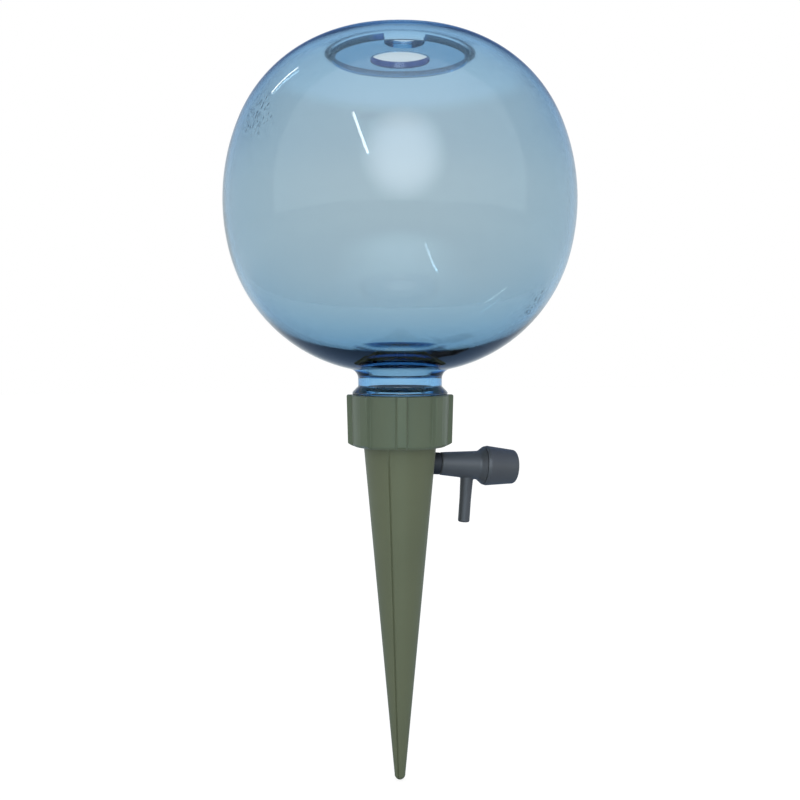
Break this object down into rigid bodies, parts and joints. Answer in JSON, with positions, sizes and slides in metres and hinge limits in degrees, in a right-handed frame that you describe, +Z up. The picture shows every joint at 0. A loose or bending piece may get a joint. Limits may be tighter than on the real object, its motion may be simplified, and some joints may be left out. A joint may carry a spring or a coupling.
{
  "type": "watering globe",
  "caption": "Clear plastic watering ball with a lidded filling hole, screwed by its neck into a hollow soil spike that has a swivelling drip valve and a flow knob in its side.",
  "frame": {"origin": "on the common axis of the spike and the ball at the soil line, 80 mm above the spike's tip", "axes": "+Z up along that axis towards the ball, +X towards the drip valve's side of the spike"},
  "size_m": [0.1196, 0.1196, 0.2543],
  "materials": {
    "clear_blue_plastic": "clear, blue tint, polished with light scuffs",
    "green_plastic": "moulded satin",
    "grey_plastic": "moulded satin",
    "black_rubber": "matt"
  },
  "bodies": {
    "spike": {"ground_spike": "green_plastic", "valve_grommet": "black_rubber"},
    "gasket": {"neck_gasket": "black_rubber"},
    "globe": {"reservoir_globe": "clear_blue_plastic"},
    "lid": {"filler_lid": "clear_blue_plastic"},
    "valve": {"valve_body": "grey_plastic"},
    "knob": {"regulator_knob": "grey_plastic", "valve_spindle": "grey_plastic", "spindle_ring": "black_rubber"}
  },
  "joints": [
    {"name": "globe_unscrew", "type": "hinge", "parent": "spike", "child": "gasket", "pos_m": [0, 0, 0.0399], "axis": [0, 0, 1], "range_deg": [0, 720]},
    {"name": "globe_rise", "type": "slide", "parent": "gasket", "child": "globe", "axis": [0, 0, 1], "range_m": [0, 0.0064]},
    {"name": "lid_lift", "type": "slide", "parent": "globe", "child": "lid", "axis": [0, 0, 1], "range_m": [0, 0.03]},
    {"name": "valve_swivel", "type": "hinge", "parent": "spike", "child": "valve", "pos_m": [0.01192, 0, 0.0312], "axis": [0.9976, 0, -0.0698], "continuous": true},
    {"name": "knob_turn", "type": "hinge", "parent": "valve", "child": "knob", "pos_m": [0.01192, 0, 0.0312], "axis": [0.9976, 0, -0.0698], "range_deg": [0, 90]}
  ],
  "couplings": [
    {"joint": "globe_rise", "follows": "globe_unscrew", "m_per_rad": 0.00050611}
  ]
}
